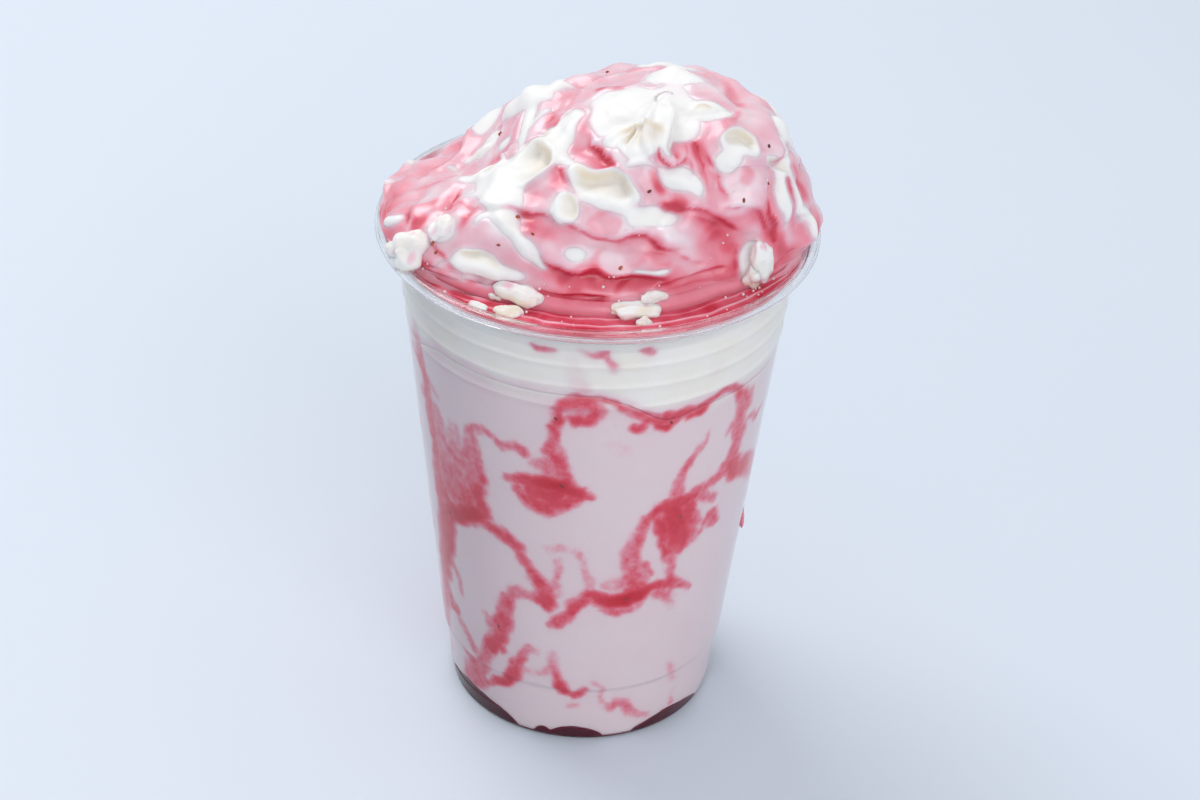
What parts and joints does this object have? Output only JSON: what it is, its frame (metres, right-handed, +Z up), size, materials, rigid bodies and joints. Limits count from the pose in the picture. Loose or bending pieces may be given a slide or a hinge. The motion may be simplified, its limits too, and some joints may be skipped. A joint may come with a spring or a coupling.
{
  "type": "strawberry milkshake in a clear cup",
  "caption": "Strawberry milkshake in a clear plastic cup, with sauce streaks down the wall, syrup at the base and a whipped-cream mound under strawberry sauce.",
  "frame": {"origin": "centre of the circle that the cup stands on, at table height", "axes": "+Z up along the cup's axis, -Y towards the front where the sauce pools inside the rim, +X towards the side that the cream's peak leans to"},
  "size_m": [0.098, 0.098, 0.1553],
  "materials": {
    "clear_plastic": "clear, glossy",
    "shake": "smooth, satin, opaque",
    "cream": "soft, satin, opaque",
    "dark_syrup": "glossy",
    "red_sauce": "glossy"
  },
  "bodies": {
    "root": {"cup": "clear_plastic", "milkshake": "shake", "whipped_cream": "cream", "base_syrup": "dark_syrup", "rim_sauce": "red_sauce"}
  },
  "joints": []
}
